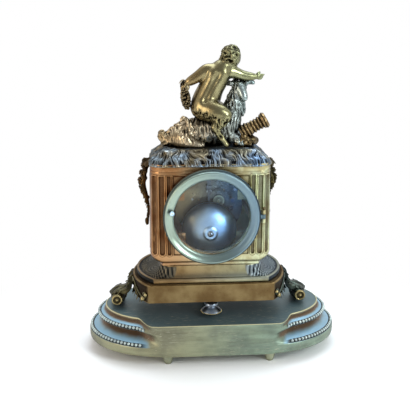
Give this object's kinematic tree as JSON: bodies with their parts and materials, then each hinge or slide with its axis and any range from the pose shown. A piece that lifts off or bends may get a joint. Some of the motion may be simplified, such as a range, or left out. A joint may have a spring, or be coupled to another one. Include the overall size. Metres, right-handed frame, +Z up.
{
  "type": "mantel clock",
  "caption": "Mantel clock on a moulded plinth, with glazed doors back and front, a striking pendulum movement, and a child faun riding a goat on top.",
  "frame": {"origin": "centre of the footprint at the bottom of the four pegs", "axes": "+Z up, -Y towards the glazed back door, +Y towards the dial, +X to the right when seen from the back"},
  "size_m": [0.316, 0.156, 0.3738],
  "materials": {
    "giltwood": "satin",
    "block_bronze": "stained",
    "gilt_bronze": "satin",
    "figure_bronze": "satin",
    "pale_brass": "satin",
    "lacquered_brass": "polished",
    "door_glass": "gloss",
    "steel": "satin",
    "enamel": "gloss",
    "blued_steel": "gloss",
    "bell_metal": "polished",
    "clock_brass": "satin"
  },
  "bodies": {
    "case": {"plinth": "giltwood", "plinth_foot_1": "giltwood", "plinth_foot_2": "giltwood", "plinth_foot_3": "giltwood", "plinth_foot_4": "giltwood", "base_block": "block_bronze", "case_moulding": "gilt_bronze", "scroll_foot_left": "figure_bronze", "scroll_foot_right": "figure_bronze", "back_pendant": "gilt_bronze", "front_pendant": "gilt_bronze", "case_body": "gilt_bronze", "case_cover": "figure_bronze", "goat": "figure_bronze", "faun_child": "figure_bronze", "grape_bunch": "figure_bronze", "wicker_horn": "figure_bronze", "garland_left": "figure_bronze", "garland_right": "figure_bronze", "case_tie_rod": "steel", "back_ring": "pale_brass", "back_hinge_pin": "steel", "front_ring": "lacquered_brass", "front_hinge_pin": "steel", "dial": "enamel", "front_plate": "clock_brass", "back_plate": "clock_brass", "suspension_cock": "clock_brass", "bell_stand": "steel", "bell": "bell_metal", "bell_nut": "steel"},
    "back_door": {"back_door_frame": "pale_brass", "back_glass": "door_glass", "back_door_knob": "steel"},
    "front_door": {"front_bezel": "lacquered_brass", "front_glass": "door_glass"},
    "minute_arbor": {"centre_wheel": "clock_brass", "cannon_pinion": "clock_brass", "minute_hand": "blued_steel"},
    "hour_arbor": {"hour_wheel": "clock_brass", "hour_hand": "blued_steel"},
    "minute_wheel_body": {"minute_wheel": "clock_brass"},
    "going_barrel_body": {"going_barrel": "clock_brass"},
    "going_winding": {"going_winding_arbor": "steel"},
    "going_second": {"going_second_wheel": "clock_brass"},
    "third_arbor": {"third_wheel": "clock_brass"},
    "escape_arbor": {"escape_wheel": "clock_brass"},
    "pallet_arbor": {"pallets": "steel"},
    "pendulum": {"pendulum_rod": "steel", "pendulum_bob": "clock_brass"},
    "nut": {"rating_nut": "clock_brass"},
    "strike_barrel_body": {"strike_barrel": "clock_brass"},
    "strike_winding": {"strike_winding_arbor": "steel"},
    "strike_second": {"strike_second_wheel": "clock_brass", "count_wheel": "enamel"},
    "pin_arbor": {"pin_wheel": "clock_brass"},
    "fly_arbor": {"fly": "clock_brass"},
    "hammer_arbor": {"hammer": "blued_steel"}
  },
  "joints": [
    {"name": "back_door_hinge", "type": "hinge", "parent": "case", "child": "back_door", "pos_m": [0.0556, -0.0566, 0.1811], "axis": [0, 0, 1], "range_deg": [0, 110]},
    {"name": "front_door_hinge", "type": "hinge", "parent": "case", "child": "front_door", "pos_m": [0.0556, 0.0566, 0.1811], "axis": [0, 0, -1], "range_deg": [0, 110]},
    {"name": "minute_spin", "type": "hinge", "parent": "case", "child": "minute_arbor", "pos_m": [-0.005, 0.018, 0.1811], "axis": [0, -1, 0], "continuous": true},
    {"name": "hour_spin", "type": "hinge", "parent": "case", "child": "hour_arbor", "pos_m": [-0.005, 0.045, 0.1811], "axis": [0, -1, 0], "continuous": true},
    {"name": "minute_wheel_spin", "type": "hinge", "parent": "case", "child": "minute_wheel_body", "pos_m": [-0.005, 0.039, 0.1691], "axis": [0, -1, 0], "continuous": true},
    {"name": "going_barrel_spin", "type": "hinge", "parent": "case", "child": "going_barrel_body", "pos_m": [-0.024, 0.018, 0.16884], "axis": [0, -1, 0], "continuous": true},
    {"name": "going_second_spin", "type": "hinge", "parent": "case", "child": "going_second", "pos_m": [-0.0172, 0.018, 0.18801], "axis": [0, -1, 0], "continuous": true},
    {"name": "third_spin", "type": "hinge", "parent": "case", "child": "third_arbor", "pos_m": [-0.005, 0.018, 0.1941], "axis": [0, -1, 0], "continuous": true},
    {"name": "escape_spin", "type": "hinge", "parent": "case", "child": "escape_arbor", "pos_m": [-0.005, 0.018, 0.2051], "axis": [0, -1, 0], "continuous": true},
    {"name": "going_winding_spin", "type": "hinge", "parent": "case", "child": "going_winding", "pos_m": [-0.024, 0.018, 0.16884], "axis": [0, -1, 0], "continuous": true},
    {"name": "pendulum_swing", "type": "hinge", "parent": "case", "child": "pendulum", "pos_m": [-0.005, -0.0096, 0.2171], "axis": [0, -1, 0], "range_deg": [-4, 4]},
    {"name": "pallet_swing", "type": "hinge", "parent": "case", "child": "pallet_arbor", "pos_m": [-0.005, 0.018, 0.2171], "axis": [0, -1, 0], "range_deg": [-4, 4]},
    {"name": "rating_nut_turn", "type": "hinge", "parent": "pendulum", "child": "nut", "pos_m": [-0.005, -0.0096, 0.1281], "axis": [0, 0, 1], "continuous": true},
    {"name": "strike_second_spin", "type": "hinge", "parent": "case", "child": "strike_second", "pos_m": [0.0072, 0.018, 0.18801], "axis": [0, -1, 0], "continuous": true},
    {"name": "strike_barrel_spin", "type": "hinge", "parent": "case", "child": "strike_barrel_body", "pos_m": [0.014, 0.018, 0.16884], "axis": [0, -1, 0], "continuous": true},
    {"name": "pin_spin", "type": "hinge", "parent": "case", "child": "pin_arbor", "pos_m": [0.02, 0.018, 0.19266], "axis": [0, -1, 0], "continuous": true},
    {"name": "fly_spin", "type": "hinge", "parent": "case", "child": "fly_arbor", "pos_m": [0.01398, 0.018, 0.20065], "axis": [0, -1, 0], "continuous": true},
    {"name": "strike_winding_spin", "type": "hinge", "parent": "case", "child": "strike_winding", "pos_m": [0.014, 0.018, 0.16884], "axis": [0, -1, 0], "continuous": true},
    {"name": "hammer_lift", "type": "hinge", "parent": "case", "child": "hammer_arbor", "pos_m": [0.023, -0.01, 0.1911], "axis": [0, -1, 0], "range_deg": [0, 14]}
  ],
  "couplings": [
    {"joint": "hour_spin", "follows": "minute_spin", "ratio": 0.083333},
    {"joint": "minute_wheel_spin", "follows": "minute_spin", "ratio": -0.33333},
    {"joint": "going_second_spin", "follows": "minute_spin", "ratio": -0.25},
    {"joint": "going_barrel_spin", "follows": "minute_spin", "ratio": 0.041667},
    {"joint": "third_spin", "follows": "minute_spin", "ratio": -5.5},
    {"joint": "escape_spin", "follows": "minute_spin", "ratio": 24.75},
    {"joint": "pallet_swing", "follows": "pendulum_swing", "ratio": 1},
    {"joint": "strike_barrel_spin", "follows": "strike_second_spin", "ratio": -0.16667},
    {"joint": "pin_spin", "follows": "strike_second_spin", "ratio": -4.6667},
    {"joint": "fly_spin", "follows": "strike_second_spin", "ratio": 18.667}
  ]
}
